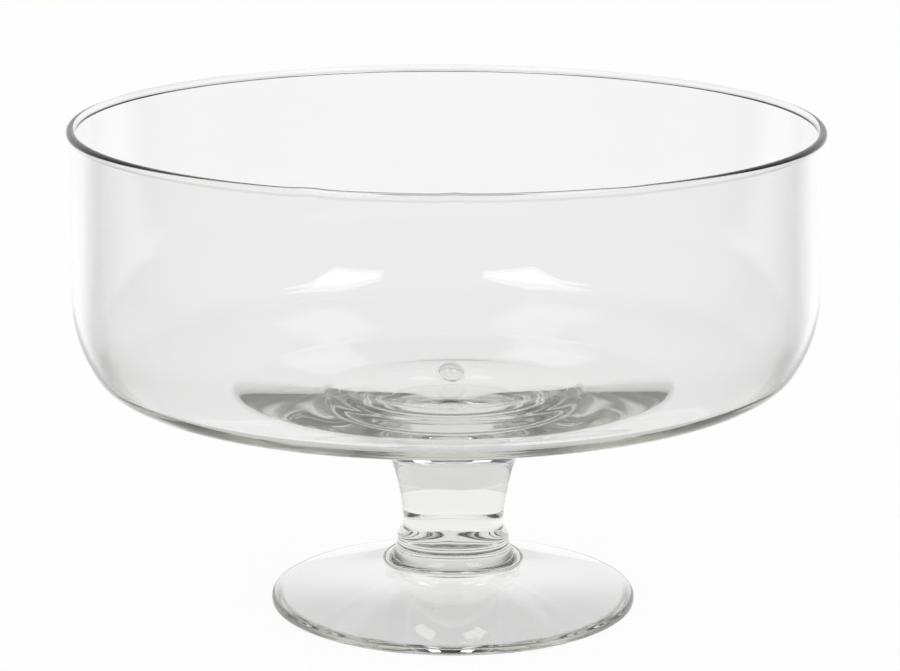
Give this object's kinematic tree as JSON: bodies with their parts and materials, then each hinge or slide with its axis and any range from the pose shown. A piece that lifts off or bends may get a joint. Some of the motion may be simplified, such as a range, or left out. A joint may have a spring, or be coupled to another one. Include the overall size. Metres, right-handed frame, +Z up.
{
  "type": "trifle bowl",
  "caption": "Clear blown glass trifle bowl: upright wall, flame rounded rim, thick rounded floor, flared stem, ringed collar and round hollow foot.",
  "frame": {"origin": "on the table, under the middle of the bowl's rim", "axes": "+Z up along the bowl's axis; +X towards the side where the stem and the foot stand a little off the bowl's axis; +Y away from the viewer"},
  "size_m": [0.24, 0.24, 0.1584],
  "materials": {
    "clear_glass": "clear soda glass, fire polished, with a faint green tint where it is thick"
  },
  "bodies": {
    "root": {"bowl": "clear_glass", "stem": "clear_glass", "wafer": "clear_glass", "collar": "clear_glass", "foot": "clear_glass"}
  },
  "joints": []
}
